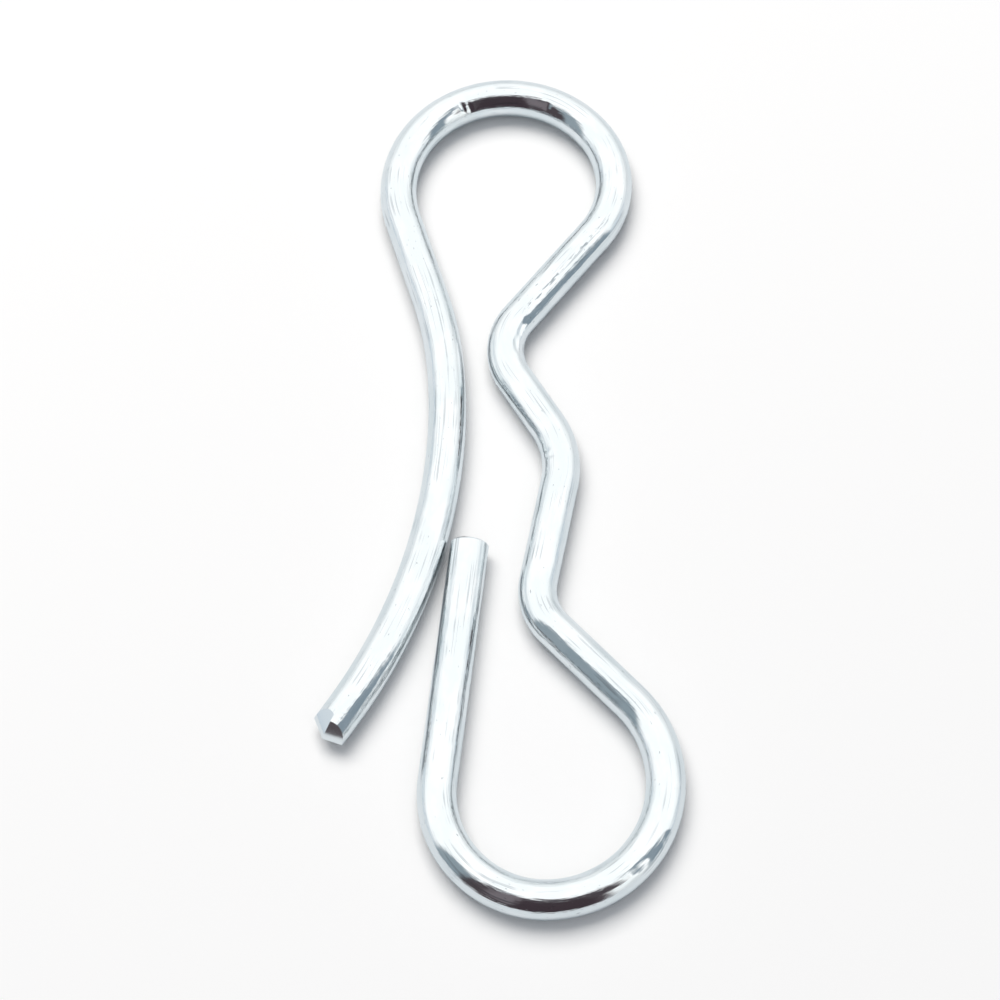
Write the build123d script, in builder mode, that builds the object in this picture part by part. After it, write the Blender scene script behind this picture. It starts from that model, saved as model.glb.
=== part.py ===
from build123d import *
import math
import os

# A bow tie cotter pin: one round wire, bent flat round a row of forming pegs.
# Millimetres.  The wire's middle plane is Z = 0 and +Z is the shaft's axis.  The origin is the
# middle of the shaft, where the through leg crosses it, and +Y runs to the spring loop.
# Bearings are degrees counter-clockwise from +X.  A turn of +1 bends to the left, -1 to the right.

# wire and the shaft that it is made for
wire_dia = 3.0
shaft_dia = 15.5

# through leg: a long bow, tighter near the spring loop
bow_inside_radius = 43.3
bow_root_inside_radius = 28.5
bow_bearing_at_seat = 80.55
bow_bearing_at_root = 90.9
bow_bearing_at_tail = 49.7
leg_run = 7.5
leg_run_bearing = 104.72

# seat leg: the bump rests on the shaft, between the neck and the heel
bump_inside_radius = 5.4
neck_inside_radius = 3.05
neck_run = 4.83
neck_gap = 1.9
heel_inside_radius = 2.9
heel_run = 8.3
heel_gap = 7.05

# spring loop: it joins the through leg to the neck, and closes in tighter on the way there
spring_inside_radius = 7.5
spring_close_inside_radius = 6.3
spring_close_bearing = 303.0

# lock loop: it turns the wire back, and closes in tighter towards the lock leg
lock_run = 8.05
lock_run_bearing = 311.25
lock_inside_radius = 7.5
lock_close_inside_radius = 6.55
lock_close_bearing = 178.6

# lock leg: straight, with its tip held just off the through leg
lock_bearing_on_bow = 73.3
lock_gap = 0.2
tip_break = 0.12

# tail: pinched off from both sides to a blunt chisel, whose faces meet in a hip on the middle line
tail_land = 0.6
tail_bevel_length = 0.95
tail_hip_angle = 18.5

wire_radius = wire_dia / 2
settling_rounds = 20


def step(point, bearing, length):
    """The point at a distance along a bearing."""
    angle = math.radians(bearing)
    return (point[0] + length * math.cos(angle), point[1] + length * math.sin(angle))


def on_peg(peg, bearing):
    """Where the wire's middle line passes a peg while it runs along a bearing."""
    centre, radius, turn = peg
    return step(centre, bearing - 90, turn * radius)


def peg_at(point, bearing, inside_radius, turn):
    """The peg that the wire passes at a point, on a bearing."""
    radius = inside_radius + wire_radius
    return (step(point, bearing + 90, turn * radius), radius, turn)


def tangent_bearing(first, second):
    """The bearing of the straight wire that leaves the first peg for the second."""
    (x1, y1), radius1, turn1 = first
    (x2, y2), radius2, turn2 = second
    offset = turn2 * radius2 - turn1 * radius1
    distance = math.hypot(x2 - x1, y2 - y1)
    return math.degrees(math.atan2(y2 - y1, x2 - x1) - math.asin(offset / distance))


def beside_leg(side, run, gap, inside_radius):
    """The peg that a straight run from the bump reaches, above (1) or below (-1) it.

    Its wire clears the through leg by the gap, measured level with the peg.
    """
    (bow_x, bow_y), bow_radius, _ = bow
    (bump_x, bump_y), bump_radius, _ = bump
    radius = inside_radius + wire_radius
    reach = math.hypot(bump_radius + radius, run)
    y = bump_y + side * reach
    for _ in range(settling_rounds):
        leg_x = bow_x + math.sqrt(bow_radius**2 - (y - bow_y) ** 2)
        x = leg_x + wire_dia + gap + radius
        y = bump_y + side * math.sqrt(reach**2 - (x - bump_x) ** 2)
    return ((x, y), radius, 1)


# forming pegs, each as centre, middle-line radius and turn
bow = peg_at((0, 0), bow_bearing_at_seat, bow_inside_radius, 1)
bow_root = peg_at(on_peg(bow, bow_bearing_at_root), bow_bearing_at_root, bow_root_inside_radius, 1)
bump = ((shaft_dia / 2 - bump_inside_radius, 0), bump_inside_radius + wire_radius, -1)
neck = beside_leg(1, neck_run, neck_gap, neck_inside_radius)
heel = beside_leg(-1, heel_run, heel_gap, heel_inside_radius)
spring_entry = step(on_peg(bow_root, leg_run_bearing), leg_run_bearing, leg_run)
spring = peg_at(spring_entry, leg_run_bearing, spring_inside_radius, -1)
spring_split = on_peg(spring, spring_close_bearing)
spring_close = peg_at(spring_split, spring_close_bearing, spring_close_inside_radius, -1)
lock_entry = step(on_peg(heel, lock_run_bearing), lock_run_bearing, lock_run)
lock = peg_at(lock_entry, lock_run_bearing, lock_inside_radius, -1)
lock_split = on_peg(lock, lock_close_bearing)
lock_close = peg_at(lock_split, lock_close_bearing, lock_close_inside_radius, -1)
lock_contact = on_peg(bow, lock_bearing_on_bow)
tip = (step(lock_contact, lock_bearing_on_bow - 90, wire_dia + lock_gap), 0, -1)

# each bend as its peg, the bearing it starts on and the bearing it ends on
spring_run_bearing = tangent_bearing(spring_close, neck)
neck_bearing = tangent_bearing(neck, bump)
heel_bearing = tangent_bearing(bump, heel)
tip_bearing = tangent_bearing(lock_close, tip)
bends = [
    (bow, bow_bearing_at_tail, bow_bearing_at_root),
    (bow_root, bow_bearing_at_root, leg_run_bearing),
    (spring, leg_run_bearing, spring_close_bearing),
    (spring_close, spring_close_bearing, spring_run_bearing),
    (neck, spring_run_bearing, neck_bearing),
    (bump, neck_bearing, heel_bearing),
    (heel, heel_bearing, lock_run_bearing),
    (lock, lock_run_bearing, lock_close_bearing),
    (lock_close, lock_close_bearing, tip_bearing),
]
tail_point = on_peg(bow, bow_bearing_at_tail)
tail_direction = step((0, 0), bow_bearing_at_tail, 1)

with BuildPart() as bow_wire:
    with BuildLine() as middle_line:
        end = tail_point
        for peg, start_bearing, end_bearing in bends:
            centre, radius, turn = peg
            start = on_peg(peg, start_bearing)
            if math.dist(end, start) > 0.001:
                Line(end, start)
            swept = turn * (turn * (end_bearing - start_bearing) % 360)
            JernArc(start, step((0, 0), start_bearing, 1), radius, swept)
            end = on_peg(peg, end_bearing)
        Line(end, tip[0])
    with BuildSketch(Plane(tail_point, z_dir=tail_direction)):
        Circle(wire_radius)
    sweep(path=middle_line.wires()[0])

    # edge break round the lock leg's tip
    tip_rim = bow_wire.edges().filter_by(GeomType.CIRCLE).sort_by_distance(tip[0])[0]
    chamfer(tip_rim, tip_break)

    # the tail's faces: each pinch leaves a land and two bevels, turned off the wire's direction
    for turn in (1, -1):
        facing = bow_bearing_at_tail + turn * tail_hip_angle
        pinch = Plane(tail_point, x_dir=step((0, 0), facing, 1), z_dir=step((0, 0), facing - 90, 1))
        with BuildSketch(pinch):
            with BuildLine():
                Polyline(
                    (0, tail_land / 2),
                    (tail_bevel_length, wire_radius),
                    (tail_bevel_length, wire_dia),
                    (-wire_dia, wire_dia),
                    (-wire_dia, -wire_dia),
                    (tail_bevel_length, -wire_dia),
                    (tail_bevel_length, -wire_radius),
                    (0, -tail_land / 2),
                    close=True,
                )
            make_face()
        extrude(amount=wire_dia, both=True, mode=Mode.SUBTRACT)

bow_wire.part.label = "bow_wire"
os.makedirs("parts", exist_ok=True)
export_step(bow_wire.part, "parts/bow_wire.step")
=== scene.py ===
import math

import bmesh
import bpy
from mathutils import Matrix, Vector
from mathutils.noise import noise


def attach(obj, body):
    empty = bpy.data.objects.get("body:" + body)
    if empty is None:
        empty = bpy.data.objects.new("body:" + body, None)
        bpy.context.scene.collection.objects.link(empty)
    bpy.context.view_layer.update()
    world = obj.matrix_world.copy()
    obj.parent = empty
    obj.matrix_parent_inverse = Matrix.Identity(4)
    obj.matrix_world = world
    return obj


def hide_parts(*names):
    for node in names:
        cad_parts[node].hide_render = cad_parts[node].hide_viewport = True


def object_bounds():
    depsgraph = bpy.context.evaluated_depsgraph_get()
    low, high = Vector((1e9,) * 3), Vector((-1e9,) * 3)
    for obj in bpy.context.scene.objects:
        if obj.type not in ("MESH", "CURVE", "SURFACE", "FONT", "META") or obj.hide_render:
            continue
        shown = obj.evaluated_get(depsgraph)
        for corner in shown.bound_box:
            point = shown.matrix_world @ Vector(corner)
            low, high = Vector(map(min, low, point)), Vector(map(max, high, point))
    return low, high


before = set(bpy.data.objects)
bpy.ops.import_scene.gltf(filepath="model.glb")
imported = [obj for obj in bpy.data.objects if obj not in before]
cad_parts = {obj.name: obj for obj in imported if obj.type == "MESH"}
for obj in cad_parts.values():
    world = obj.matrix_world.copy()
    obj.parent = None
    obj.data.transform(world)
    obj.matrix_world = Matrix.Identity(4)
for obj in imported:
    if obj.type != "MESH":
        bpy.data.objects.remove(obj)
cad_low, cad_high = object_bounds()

MM = 0.001

# ---- the wire's bends, in millimetres and degrees, the same sizes as the CAD part ----
wire_dia = 3.0
shaft_dia = 15.5
bow_inside_radius = 43.3
bow_root_inside_radius = 28.5
bow_bearing_at_seat = 80.55
bow_bearing_at_root = 90.9
bow_bearing_at_tail = 49.7
leg_run = 7.5
leg_run_bearing = 104.72
bump_inside_radius = 5.4
neck_inside_radius = 3.05
neck_run = 4.83
neck_gap = 1.9
heel_inside_radius = 2.9
heel_run = 8.3
heel_gap = 7.05
spring_inside_radius = 7.5
spring_close_inside_radius = 6.3
spring_close_bearing = 303.0
lock_run = 8.05
lock_run_bearing = 311.25
lock_inside_radius = 7.5
lock_close_inside_radius = 6.55
lock_close_bearing = 178.6
lock_bearing_on_bow = 73.3
lock_gap = 0.2
tip_break = 0.12
tail_land = 0.6
tail_bevel_length = 0.95
tail_hip_angle = 18.5
wire_radius = wire_dia / 2
settling_rounds = 20

# ---- mesh fineness ----
ring_spacing = 0.13
ring_points = 64
cap_rings = 24
tail_blend_length = 2.6
sharp_edge_angle = 24.0

# ---- the cut ends have no place along the wire: all their corners take this one ----
plain_spot = (-5.0, 0.5)

# ---- the drawn surface's depth under the full round, and how far its waves vary it ----
drawn_depth = 0.010
slow_wave_height = 0.007
quick_wave_height = 0.0018

# ---- the tail's nose is rounded, and its left faces are flatter and turned further than its right ----
tail_nose = 0.18
tail_left_share = 1.35
tail_left_turn = 12.0

# ---- tool marks: bend, distance past its start, degrees from the crown to the right, ----
# ---- length along the wire, width around it, depth ----
tool_marks = [
    ("spring", 12.7, 30, 0.26, 0.55, 0.08),
    ("spring", 13.3, 42, 0.30, 0.45, 0.05),
    ("spring", 20.7, 36, 0.40, 0.40, 0.03),
    ("spring", 2.9, 6, 0.9, 0.25, 0.03),
    ("spring", 1.9, -12, 1.4, 0.2, 0.03),
    ("neck", 1.1, -40, 1.5, 0.30, 0.09),
    ("neck", 3.0, -34, 1.1, 0.30, 0.08),
    ("bump", 3.3, 33, 0.25, 0.8, 0.07),
    ("bump", 2.6, 46, 0.3, 0.5, 0.04),
    ("lock", 14.0, -31, 0.85, 0.26, 0.05),
    ("lock", 11.3, -48, 0.6, 0.5, 0.03),
    ("lock_close", 11.9, 0, 0.7, 0.35, 0.04),
    ("lock_close", 10.6, -14, 0.5, 0.30, 0.03),
]

# ---- the long scratch, which starts a little before the run from the spring loop to the neck ----
scratch_length = 12.0
scratch_lead = 2.0
scratch_depth = 0.008
scratch_degrees = -15
scratch_wander = 4
scratch_half_width = 10

# ---- the camera, in millimetres of lens and sensor, degrees and metres ----
camera_lens = 88.16
camera_sensor = 36.0
camera_azimuth = -3.07
camera_elevation = 66.66
camera_distance = 0.191
camera_aim = (0.0043, -0.0029, 0.0)

# ---- the soft lamp: sides and place in metres, power in watts ----
softbox_sides = (0.6, 0.5)
softbox_power = 5.15
softbox_colour = (1.0, 0.97, 0.93)
softbox_place = (-0.10, 0.34, 0.72)

# ---- the floor, in metres ----
floor_half_side = 3.0


def step(point, bearing, length):
    """The point at a distance along a bearing."""
    angle = math.radians(bearing)
    return (point[0] + length * math.cos(angle), point[1] + length * math.sin(angle))


def on_peg(peg, bearing):
    """Where the wire's middle line passes a peg while it runs along a bearing."""
    centre, radius, turn = peg
    return step(centre, bearing - 90, turn * radius)


def peg_at(point, bearing, inside_radius, turn):
    """The peg that the wire passes at a point, on a bearing."""
    radius = inside_radius + wire_radius
    return (step(point, bearing + 90, turn * radius), radius, turn)


def tangent_bearing(first, second):
    """The bearing of the straight wire that leaves the first peg for the second."""
    (x1, y1), radius1, turn1 = first
    (x2, y2), radius2, turn2 = second
    offset = turn2 * radius2 - turn1 * radius1
    distance = math.hypot(x2 - x1, y2 - y1)
    return math.degrees(math.atan2(y2 - y1, x2 - x1) - math.asin(offset / distance))


def beside_leg(bow, bump, side, run, gap, inside_radius):
    """The peg that a straight run from the bump reaches, above (1) or below (-1) it."""
    (bow_x, bow_y), bow_radius, _ = bow
    (bump_x, bump_y), bump_radius, _ = bump
    radius = inside_radius + wire_radius
    reach = math.hypot(bump_radius + radius, run)
    y = bump_y + side * reach
    for _ in range(settling_rounds):
        leg_x = bow_x + math.sqrt(bow_radius**2 - (y - bow_y) ** 2)
        x = leg_x + wire_dia + gap + radius
        y = bump_y + side * math.sqrt(reach**2 - (x - bump_x) ** 2)
    return ((x, y), radius, 1)


def wire_bends():
    """Each bend as its peg and the bearings that it starts and ends on, and the lock leg's tip."""
    bow = peg_at((0, 0), bow_bearing_at_seat, bow_inside_radius, 1)
    bow_root = peg_at(on_peg(bow, bow_bearing_at_root), bow_bearing_at_root, bow_root_inside_radius, 1)
    bump = ((shaft_dia / 2 - bump_inside_radius, 0), bump_inside_radius + wire_radius, -1)
    neck = beside_leg(bow, bump, 1, neck_run, neck_gap, neck_inside_radius)
    heel = beside_leg(bow, bump, -1, heel_run, heel_gap, heel_inside_radius)
    spring_entry = step(on_peg(bow_root, leg_run_bearing), leg_run_bearing, leg_run)
    spring = peg_at(spring_entry, leg_run_bearing, spring_inside_radius, -1)
    spring_split = on_peg(spring, spring_close_bearing)
    spring_close = peg_at(spring_split, spring_close_bearing, spring_close_inside_radius, -1)
    lock_entry = step(on_peg(heel, lock_run_bearing), lock_run_bearing, lock_run)
    lock = peg_at(lock_entry, lock_run_bearing, lock_inside_radius, -1)
    lock_split = on_peg(lock, lock_close_bearing)
    lock_close = peg_at(lock_split, lock_close_bearing, lock_close_inside_radius, -1)
    contact = on_peg(bow, lock_bearing_on_bow)
    tip = (step(contact, lock_bearing_on_bow - 90, wire_dia + lock_gap), 0, -1)
    spring_run_bearing = tangent_bearing(spring_close, neck)
    neck_bearing = tangent_bearing(neck, bump)
    heel_bearing = tangent_bearing(bump, heel)
    bends = {
        "bow": (bow, bow_bearing_at_tail, bow_bearing_at_root),
        "bow_root": (bow_root, bow_bearing_at_root, leg_run_bearing),
        "spring": (spring, leg_run_bearing, spring_close_bearing),
        "spring_close": (spring_close, spring_close_bearing, spring_run_bearing),
        "neck": (neck, spring_run_bearing, neck_bearing),
        "bump": (bump, neck_bearing, heel_bearing),
        "heel": (heel, heel_bearing, lock_run_bearing),
        "lock": (lock, lock_run_bearing, lock_close_bearing),
        "lock_close": (lock_close, lock_close_bearing, tangent_bearing(lock_close, tip)),
    }
    return bends, tip[0]


def middle_line():
    """Stations along the wire as (distance, x, y, bearing), and where each bend starts and ends."""
    bends, tip = wire_bends()
    stations = []
    places = {}
    travelled = 0.0
    end = None
    for name, (peg, start_bearing, end_bearing) in bends.items():
        _, radius, turn = peg
        start = on_peg(peg, start_bearing)
        if end and math.dist(end, start) > ring_spacing:
            travelled = add_run(stations, travelled, end, start)
        swept = turn * (turn * (end_bearing - start_bearing) % 360)
        length = math.radians(abs(swept)) * radius
        count = math.ceil(length / ring_spacing)
        for i in range(count):
            bearing = start_bearing + swept * i / count
            stations.append((travelled + length * i / count, *on_peg(peg, bearing), bearing))
        places[name] = (travelled, travelled + length)
        travelled += length
        end = on_peg(peg, end_bearing)
    travelled = add_run(stations, travelled, end, tip)
    stations.append((travelled, *tip, stations[-1][3]))
    places["tip"] = (travelled, travelled)
    return stations, places


def add_run(stations, travelled, start, end):
    """Adds a straight run's stations, all but its last, and returns the distance at its end."""
    length = math.dist(start, end)
    bearing = math.degrees(math.atan2(end[1] - start[1], end[0] - start[0]))
    count = math.ceil(length / ring_spacing)
    for i in range(count):
        past = length * i / count
        stations.append((travelled + past, *step(start, bearing, past), bearing))
    return travelled + length


def waves(distance, around):
    """How far the drawn surface lies under the full round, in millimetres."""
    ring = Vector((math.cos(around), math.sin(around), 0)) * 0.9
    slow = noise(ring + Vector((0, 0, distance * 0.22)))
    quick = noise(ring * 3.0 + Vector((7, 3, distance * 0.55)))
    return drawn_depth + slow_wave_height * slow + quick_wave_height * quick


def marks(distance, around, places):
    """The depth of the tool marks at a point, in millimetres."""
    depth = 0.0
    for bend, past, degrees, mark_length, mark_width, mark_depth in tool_marks:
        along = (distance - places[bend][0] - past) / mark_length
        if abs(along) < 1:
            turned = (math.degrees(around) - degrees + 180) % 360 - 180
            across = math.radians(turned) * wire_radius / mark_width
            depth += mark_depth * max(1 - along**2 - across**2, 0.0)
    return depth


def scratch(distance, around, places):
    """How strong the long dashed scratch is, from the spring loop to the neck: 0 to 1."""
    past = distance - places["spring_close"][1] + scratch_lead
    if not 0 < past < scratch_length:
        return 0.0
    middle = scratch_degrees + scratch_wander * noise(Vector((distance * 0.6, 1, 9)))
    turned = (math.degrees(around) - middle + 180) % 360 - 180
    share = 1 - abs(turned) / scratch_half_width
    return max(share, 0.0) * min(past, scratch_length - past, 1.0)


def tail_cut(side, height):
    """How far the pinched tail is cut back, beside and above its middle line."""
    over = math.hypot(height, tail_nose) - tail_nose
    bevel = tail_bevel_length * over / (wire_radius - tail_land / 2)
    hip = math.radians(tail_hip_angle)
    if side < 0:
        bevel *= tail_left_share
        hip += math.radians(tail_left_turn)
    return (bevel + abs(side) * math.sin(hip)) / math.cos(hip)


def build_wire():
    """The wire as one closed mesh, with its cut ends."""
    stations, places = middle_line()
    length = stations[-1][0]
    mesh = bpy.data.meshes.new("zinc_wire")
    bm = bmesh.new()
    uv = bm.loops.layers.uv.new("along_and_around")
    scuff = bm.verts.layers.float.new("scuff")

    def vertex(station, side, height, forward):
        """A vertex beside and above the middle line, and moved forward along it."""
        _, x, y, bearing = station
        x, y = step(step((x, y), bearing - 90, side), bearing, forward)
        return bm.verts.new((x * MM, y * MM, height * MM))

    def ring(station, scale=1.0, forward=lambda side, height: 0.0):
        """A ring of vertices, counted from the underside, over the wire's left-hand side and crown."""
        verts = []
        for i in range(ring_points):
            around = math.tau * i / ring_points - math.pi
            scratched = scratch(station[0], around, places)
            depth = waves(station[0], around) + marks(station[0], around, places)
            depth += scratch_depth * scratched
            side = (wire_radius - depth) * scale * math.sin(around)
            height = (wire_radius - depth) * scale * math.cos(around)
            verts.append(vertex(station, side, height, forward(side, height)))
            verts[-1][scuff] = scratched
        return verts

    def skin(first, second, first_u, second_u):
        """Quads between two rings. Where both have one place along the wire, they are on a cut end."""
        for i in range(ring_points):
            j = (i + 1) % ring_points
            face = bm.faces.new((first[i], first[j], second[j], second[i]))
            corners = ((first_u, i), (first_u, i + 1), (second_u, i + 1), (second_u, i))
            for loop, (u, v) in zip(face.loops, corners):
                loop[uv].uv = (u, v / ring_points) if first_u < second_u else plain_spot

    def close_end(middle, verts):
        """Triangles from a middle vertex to a ring."""
        for i in range(ring_points):
            face = bm.faces.new((middle, verts[i], verts[(i + 1) % ring_points]))
            for loop in face.loops:
                loop[uv].uv = plain_spot

    # the tail's faces, from their middle out to the rim
    rings = []
    for k in range(1, cap_rings):
        rings.append((ring(stations[0], k / cap_rings, tail_cut), 0.0))
    # along the wire: near the tail the rings lean back to meet its rim
    for station in stations[:-1]:
        lean = max(1 - station[0] / tail_blend_length, 0.0)
        if station[0] < length - tip_break:
            leant = ring(station, 1.0, lambda side, height: lean * tail_cut(side, height))
            rings.append((leant, station[0]))
    # the lock leg's tip: its edge break, then its flat face
    last = stations[-1]
    for setback in (tip_break, 0.0):
        scale = 1 - (tip_break - setback) / wire_radius
        rings.append((ring(last, scale, lambda side, height: -setback), length - setback))
    for k in range(cap_rings - 1, 0, -1):
        rings.append((ring(last, scale * k / cap_rings), length))
    for (first, first_u), (second, second_u) in zip(rings, rings[1:]):
        skin(first, second, first_u, second_u)
    close_end(vertex(stations[0], 0.0, 0.0, 0.0), rings[0][0])
    close_end(vertex(last, 0.0, 0.0, 0.0), rings[-1][0])
    bmesh.ops.recalc_face_normals(bm, faces=bm.faces)
    for face in bm.faces:
        face.smooth = True
    bm.to_mesh(mesh)
    bm.free()
    mesh.set_sharp_from_angle(angle=math.radians(sharp_edge_angle))
    wire = bpy.data.objects.new("zinc_wire", mesh)
    bpy.context.scene.collection.objects.link(wire)
    return wire


class Nodes:
    """Adds nodes to one shader tree. A value may be a number, a colour or another node's socket."""

    def __init__(self, tree):
        self.tree = tree

    def put(self, socket, value):
        """Sets or links an input."""
        if isinstance(value, bpy.types.NodeSocket):
            self.tree.links.new(value, socket)
        else:
            socket.default_value = value

    def add(self, kind, values=None, **settings):
        """A node with its settings, and its inputs by name or number."""
        made = self.tree.nodes.new(kind)
        for name, value in settings.items():
            setattr(made, name, value)
        for name, value in (values or {}).items():
            self.put(made.inputs[name], value)
        return made

    def maths(self, operation, *values):
        """A maths result."""
        made = self.add("ShaderNodeMath", operation=operation)
        for socket, value in zip(made.inputs, values):
            self.put(socket, value)
        return made.outputs[0]

    def ramp(self, value, low, high, start=0.0, end=1.0):
        """Smoothly from start to end while a value goes from low to high."""
        made = self.add("ShaderNodeMapRange", interpolation_type="SMOOTHSTEP")
        for socket, number in zip(made.inputs, (value, low, high, start, end)):
            self.put(socket, number)
        return made.outputs[0]

    def band(self, value, low, high, soft_low, soft_high):
        """1 between low and high, down to 0 over the soft widths outside them."""
        up = self.ramp(value, low - soft_low, low)
        down = self.ramp(value, high, high + soft_high, 1.0, 0.0)
        return self.maths("MULTIPLY", up, down)

    def blend(self, factor, first, second):
        """A colour between two."""
        made = self.add("ShaderNodeMix", data_type="RGBA")
        self.put(made.inputs[0], factor)
        self.put(made.inputs[6], first)
        self.put(made.inputs[7], second)
        return made.outputs[2]

    def streaks(self, along, around, detail):
        """Noise on the wire, in repeats to the millimetre along it and around it."""
        place = self.add("ShaderNodeUVMap", uv_map="along_and_around").outputs[0]
        scale = (along, around * math.tau * wire_radius, 1.0)
        stretched = self.add("ShaderNodeVectorMath", operation="MULTIPLY")
        self.put(stretched.inputs[0], place)
        self.put(stretched.inputs[1], scale)
        values = {"Vector": stretched.outputs[0], "Scale": 1.0, "Detail": detail, "Roughness": 0.6}
        return self.add("ShaderNodeTexNoise", values).outputs["Fac"]


def zinc_material():
    """Bright zinc: nearly a mirror, with draw lines along the wire and a few dull specks."""
    material = bpy.data.materials.new("bright_zinc")
    material.use_nodes = True
    nodes = Nodes(material.node_tree)
    shader = material.node_tree.nodes["Principled BSDF"]
    shader.inputs["Metallic"].default_value = 1.0

    # dashed draw lines, short specks and the long scratch
    lines = nodes.ramp(nodes.streaks(0.12, 4.6, 2.0), 0.54, 0.66)
    patches = nodes.ramp(nodes.streaks(0.35, 0.35, 1.0), 0.44, 0.60)
    lines = nodes.maths("MULTIPLY", nodes.maths("MULTIPLY", lines, patches), 0.5)
    specks = nodes.maths("MULTIPLY", nodes.ramp(nodes.streaks(1.6, 4.0, 2.0), 0.68, 0.74), 0.7)
    scuff = nodes.add("ShaderNodeAttribute", attribute_name="scuff").outputs["Fac"]
    torn = nodes.ramp(nodes.streaks(1.1, 4.5, 3.0), 0.50, 0.62)
    scuff = nodes.maths("MULTIPLY", nodes.ramp(scuff, 0.0, 0.8), torn)
    dull = nodes.maths("MAXIMUM", nodes.maths("MAXIMUM", lines, specks), scuff)
    # the cut ends, which have no place along the wire, are plain
    place = nodes.add("ShaderNodeUVMap", uv_map="along_and_around").outputs[0]
    along = nodes.add("ShaderNodeSeparateXYZ", {"Vector": place}).outputs[0]
    dull = nodes.maths("MULTIPLY", dull, nodes.ramp(along, -2.0, -1.0))
    clouds = nodes.ramp(nodes.streaks(0.25, 0.5, 3.0), 0.35, 0.7)
    plate = nodes.blend(clouds, (0.79, 0.835, 0.85, 1), (0.87, 0.89, 0.90, 1))
    nodes.put(shader.inputs["Base Color"], nodes.blend(dull, plate, (0.36, 0.40, 0.43, 1)))
    nodes.put(shader.inputs["Roughness"], nodes.ramp(dull, 0.0, 1.0, 0.085, 0.32))

    # the drawn surface: fine lines over broader, shorter ripples
    fine = nodes.maths("MULTIPLY", nodes.streaks(0.35, 4.0, 3.0), 0.55)
    ripples = nodes.maths("MULTIPLY", nodes.streaks(0.45, 0.9, 2.0), 0.55)
    height = nodes.maths("ADD", fine, ripples)
    bump = nodes.add("ShaderNodeBump", {"Height": height, "Strength": 0.7, "Distance": 0.00006})
    nodes.put(shader.inputs["Normal"], bump.outputs[0])
    return material


def floor_material():
    """White paper, plain white away from the wire. Where the wire mirrors it, its colour is painted
    darker and bluer, a painted shade in the wire's reflections.
    """
    material = bpy.data.materials.new("white_floor")
    material.use_nodes = True
    nodes = Nodes(material.node_tree)
    shader = material.node_tree.nodes["Principled BSDF"]
    shader.inputs["Roughness"].default_value = 1.0
    shader.inputs["Specular IOR Level"].default_value = 0.0
    rays = nodes.add("ShaderNodeLightPath")
    # painted shade in reflections: glossy rays see the floor darker and bluer than the lamps light it
    colour = nodes.blend(rays.outputs["Is Glossy Ray"], (0.98, 0.98, 0.98, 1), (0.80, 0.84, 0.865, 1))
    nodes.put(shader.inputs["Base Color"], colour)
    place = nodes.add("ShaderNodeTexCoord").outputs["Object"]
    away = nodes.add("ShaderNodeVectorMath", {0: place}, operation="LENGTH").outputs["Value"]
    away = nodes.maths("MULTIPLY", nodes.ramp(away, 0.05, 0.13), rays.outputs["Is Camera Ray"])
    plain = nodes.add("ShaderNodeEmission", {"Color": (1, 1, 1, 1), "Strength": 1.0})
    mixed = nodes.add("ShaderNodeMixShader", {0: away, 1: shader.outputs[0], 2: plain.outputs[0]})
    nodes.put(material.node_tree.nodes["Material Output"].inputs["Surface"], mixed.outputs[0])
    return material


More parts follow.
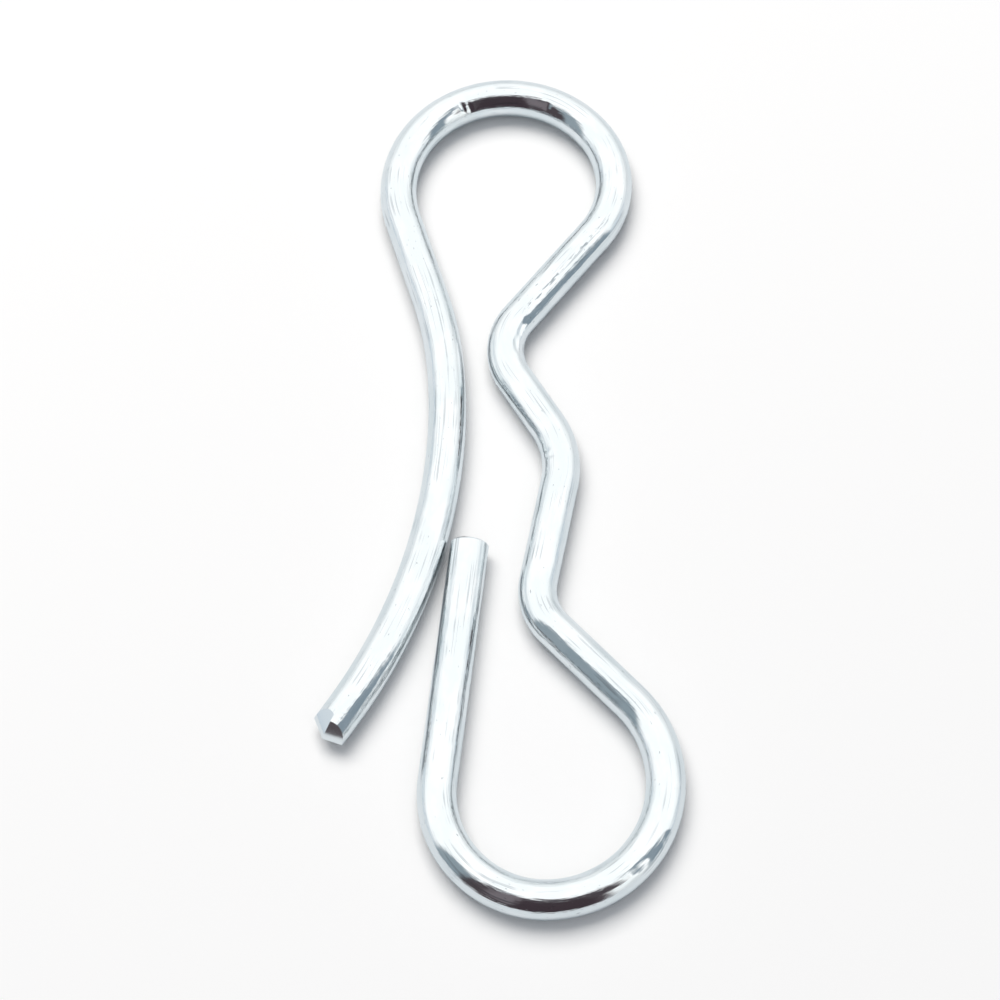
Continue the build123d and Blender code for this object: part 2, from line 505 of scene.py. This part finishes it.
def studio_world(view_azimuth):
    """White to look at. The wire mirrors white soft panels, with the dark room in front of them."""
    world = bpy.data.worlds.new("studio")
    world.use_nodes = True
    nodes = Nodes(world.node_tree)
    direction = nodes.add("ShaderNodeTexCoord").outputs["Generated"]
    turning = {"Vector": direction, "Angle": -view_azimuth}
    turned = nodes.add("ShaderNodeVectorRotate", turning, rotation_type="Z_AXIS")
    parts = nodes.add("ShaderNodeSeparateXYZ", {"Vector": turned.outputs[0]})
    # degrees to the right of the front, and degrees down from overhead
    front = nodes.maths("MULTIPLY", parts.outputs[1], -1.0)
    azimuth = nodes.maths("DEGREES", nodes.maths("ARCTAN2", parts.outputs[0], front))
    zenith = nodes.maths("DEGREES", nodes.maths("ARCCOSINE", parts.outputs[2]))

    def area(azimuths, zeniths):
        """A soft-edged area of the studio: each is low, high, and the two soft widths."""
        return nodes.maths("MULTIPLY", nodes.band(azimuth, *azimuths), nodes.band(zenith, *zeniths))

    # panels overhead and behind, greyer towards the horizon and bluer at the sides
    colour = nodes.blend(nodes.ramp(zenith, 54, 96), (1.20, 1.21, 1.21, 1), (0.73, 0.77, 0.785, 1))
    for azimuths in ((-118, -72, 14, 6), (80, 100, 4, 22)):
        side = nodes.maths("MULTIPLY", area(azimuths, (104, 180, 38, 1)), 0.85)
        colour = nodes.blend(side, colour, (0.52, 0.63, 0.74, 1))
    # the panels' edges at either hand
    colour = nodes.blend(area((-72, -40, 9, 9), (34, 180, 16, 1)), colour, (0.30, 0.36, 0.40, 1))
    colour = nodes.blend(area((64, 78, 4, 5), (24, 180, 8, 1)), colour, (0.26, 0.32, 0.37, 1))
    # the dark room in front: wide above, narrower below, and darkest near its middle
    wide = area((-50, 46, 9, 10), (18, 55, 9, 5))
    narrow = area((-52, 34, 6, 7), (30, 180, 12, 1))
    paler = area((-36, -22, 6, 6), (12, 60, 8, 12))
    room = nodes.blend(paler, (0.078, 0.064, 0.072, 1), (0.19, 0.165, 0.18, 1))
    room = nodes.blend(area((-16, 26, 6, 6), (30, 84, 10, 10)), room, (0.055, 0.040, 0.048, 1))
    room = nodes.blend(nodes.ramp(zenith, 26, 10), room, (0.24, 0.23, 0.25, 1))
    colour = nodes.blend(nodes.maths("MAXIMUM", wide, narrow), colour, room)

    # what lights the floor comes from overhead, and is a little blue
    light = nodes.blend(nodes.ramp(zenith, 15, 80), (0.66, 0.69, 0.73, 1), (0.03, 0.03, 0.036, 1))
    rays = nodes.add("ShaderNodeLightPath").outputs
    mirrored = nodes.maths("LESS_THAN", rays["Diffuse Depth"], 0.5)
    mirrored = nodes.maths("MULTIPLY", mirrored, rays["Is Glossy Ray"])
    colour = nodes.blend(mirrored, light, colour)
    colour = nodes.blend(rays["Is Camera Ray"], colour, (1, 1, 1, 1))
    nodes.put(world.node_tree.nodes["Background"].inputs["Color"], colour)
    return world


def link(name, data, location):
    """Adds an object to the scene."""
    made = bpy.data.objects.new(name, data)
    made.location = location
    bpy.context.scene.collection.objects.link(made)
    return made


def look_along(thing, direction):
    """Turns a camera or a lamp to face along a direction."""
    thing.rotation_mode = "QUATERNION"
    thing.rotation_quaternion = direction.to_track_quat("-Z", "Y")


def add_floor(level):
    """A wide plane at the level that the wire lies on."""
    mesh = bpy.data.meshes.new("floor")
    corners = []
    for across, along in ((-1, -1), (1, -1), (1, 1), (-1, 1)):
        corners.append((across * floor_half_side, along * floor_half_side, 0))
    mesh.from_pydata(corners, [], [(0, 1, 2, 3)])
    mesh.materials.append(floor_material())
    floor = link("floor", mesh, (0, 0, level))


def add_camera(aim, azimuth, elevation, distance):
    """A camera that looks down at a point, from a bearing right of the front."""
    level = math.cos(elevation)
    back = Vector((math.sin(azimuth) * level, -math.cos(azimuth) * level, math.sin(elevation)))
    data = bpy.data.cameras.new("camera")
    data.lens = camera_lens
    data.sensor_width = camera_sensor
    data.clip_start = 0.01
    camera = link("camera", data, aim + back * distance)
    look_along(camera, -back)
    bpy.context.scene.camera = camera


def add_softbox(aim):
    """A wide soft light, high behind and a little to the left."""
    data = bpy.data.lights.new("softbox", "AREA")
    data.shape = "RECTANGLE"
    data.size, data.size_y = softbox_sides
    data.energy = softbox_power
    data.color = softbox_colour
    location = Vector(softbox_place)
    lamp = link("softbox", data, location)
    look_along(lamp, aim - location)
    lamp.visible_glossy = False


wire = build_wire()
wire.data.materials.append(zinc_material())
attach(wire, "root")
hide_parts("bow_wire")

view_azimuth = math.radians(camera_azimuth)
view_elevation = math.radians(camera_elevation)
aim = Vector(camera_aim)
add_camera(aim, view_azimuth, view_elevation, camera_distance)
add_floor(cad_low.z)
add_softbox(aim)
bpy.context.scene.world = studio_world(view_azimuth)
bpy.context.scene.view_settings.view_transform = "Standard"
